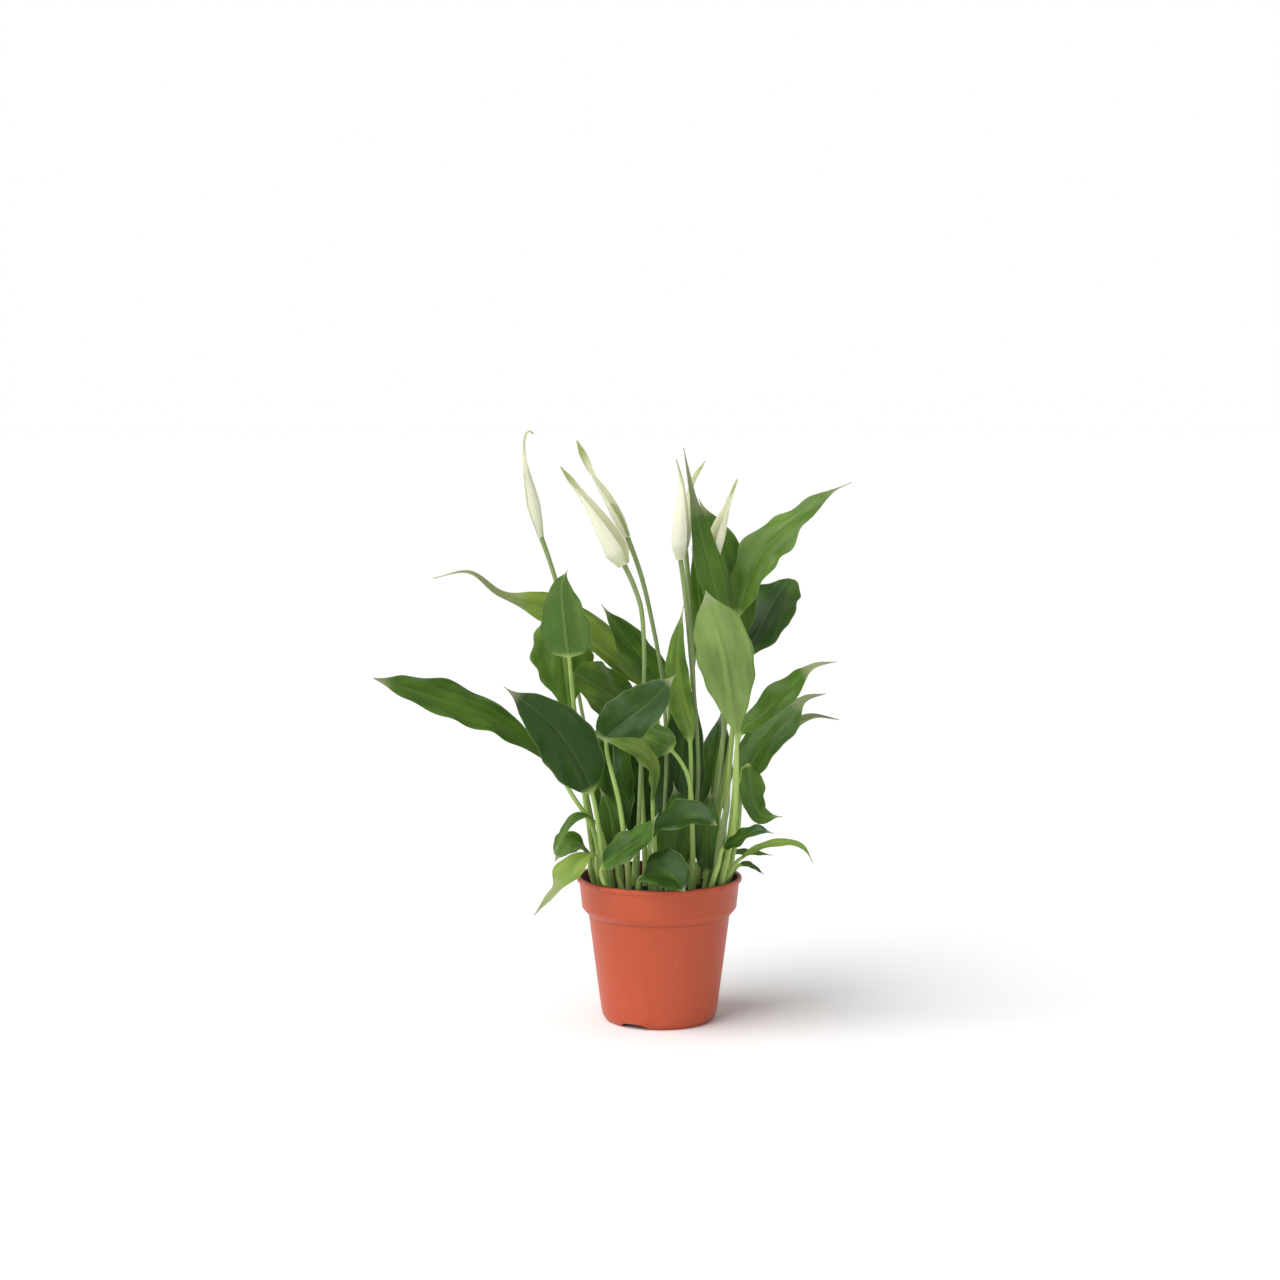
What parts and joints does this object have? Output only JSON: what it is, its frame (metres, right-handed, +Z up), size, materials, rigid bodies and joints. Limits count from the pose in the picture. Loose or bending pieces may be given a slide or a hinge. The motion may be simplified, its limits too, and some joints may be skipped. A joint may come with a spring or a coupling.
{
  "type": "potted peace lily",
  "caption": "Peace lily with arching pointed leaves and slim rolled cream spathes on tall stems, growing from peat in a round tapered plastic nursery pot with a rim band and notched foot.",
  "frame": {"origin": "on the pot's axis, at the level of the surface it stands on", "axes": "+Z up along the pot's axis; -Y is the plant's front; +X is to the right seen from the front"},
  "size_m": [0.3394, 0.2246, 0.4246],
  "materials": {
    "pot_terracotta": "satin",
    "peat": "matte, crumbly",
    "leaf_green": "semi-gloss",
    "stem_green": "satin",
    "spathe_cream": "soft satin",
    "spadix_green": "matte"
  },
  "bodies": {
    "root": {"pot": "pot_terracotta", "soil": "peat", "leaf_01": "leaf_green", "leaf_02": "leaf_green", "leaf_03": "leaf_green", "leaf_04": "leaf_green", "leaf_05": "leaf_green", "leaf_06": "leaf_green", "leaf_07": "leaf_green", "leaf_08": "leaf_green", "leaf_09": "leaf_green", "leaf_10": "leaf_green", "leaf_11": "leaf_green", "leaf_12": "leaf_green", "leaf_13": "leaf_green", "leaf_14": "leaf_green", "leaf_15": "leaf_green", "leaf_16": "leaf_green", "leaf_17": "leaf_green", "leaf_18": "leaf_green", "leaf_19": "leaf_green", "leaf_20": "leaf_green", "leaf_21": "leaf_green", "leaf_22": "leaf_green", "leaf_23": "leaf_green", "leaf_24": "leaf_green", "leaf_25": "leaf_green", "leaf_26": "leaf_green", "leaf_27": "leaf_green", "leaf_28": "leaf_green", "leaf_29": "leaf_green", "leaf_30": "leaf_green", "leaf_31": "leaf_green", "leaf_32": "leaf_green", "leaf_33": "leaf_green", "leaf_34": "leaf_green", "leaf_35": "leaf_green", "leaf_36": "leaf_green", "leaf_37": "leaf_green", "leaf_38": "leaf_green", "leaf_39": "leaf_green", "young_leaf": "stem_green", "flower_1_stem": "stem_green", "flower_1_spathe": "spathe_cream", "flower_1_spadix": "spadix_green", "flower_2_stem": "stem_green", "flower_2_spathe": "spathe_cream", "flower_2_spadix": "spadix_green", "flower_3_stem": "stem_green", "flower_3_spathe": "spathe_cream", "flower_3_spadix": "spadix_green", "flower_4_stem": "stem_green", "flower_4_spathe": "spathe_cream", "flower_4_spadix": "spadix_green", "flower_5_stem": "stem_green", "flower_5_spathe": "spathe_cream", "flower_5_spadix": "spadix_green", "flower_6_stem": "stem_green", "flower_6_spathe": "spathe_cream", "flower_6_spadix": "spadix_green"}
  },
  "joints": []
}
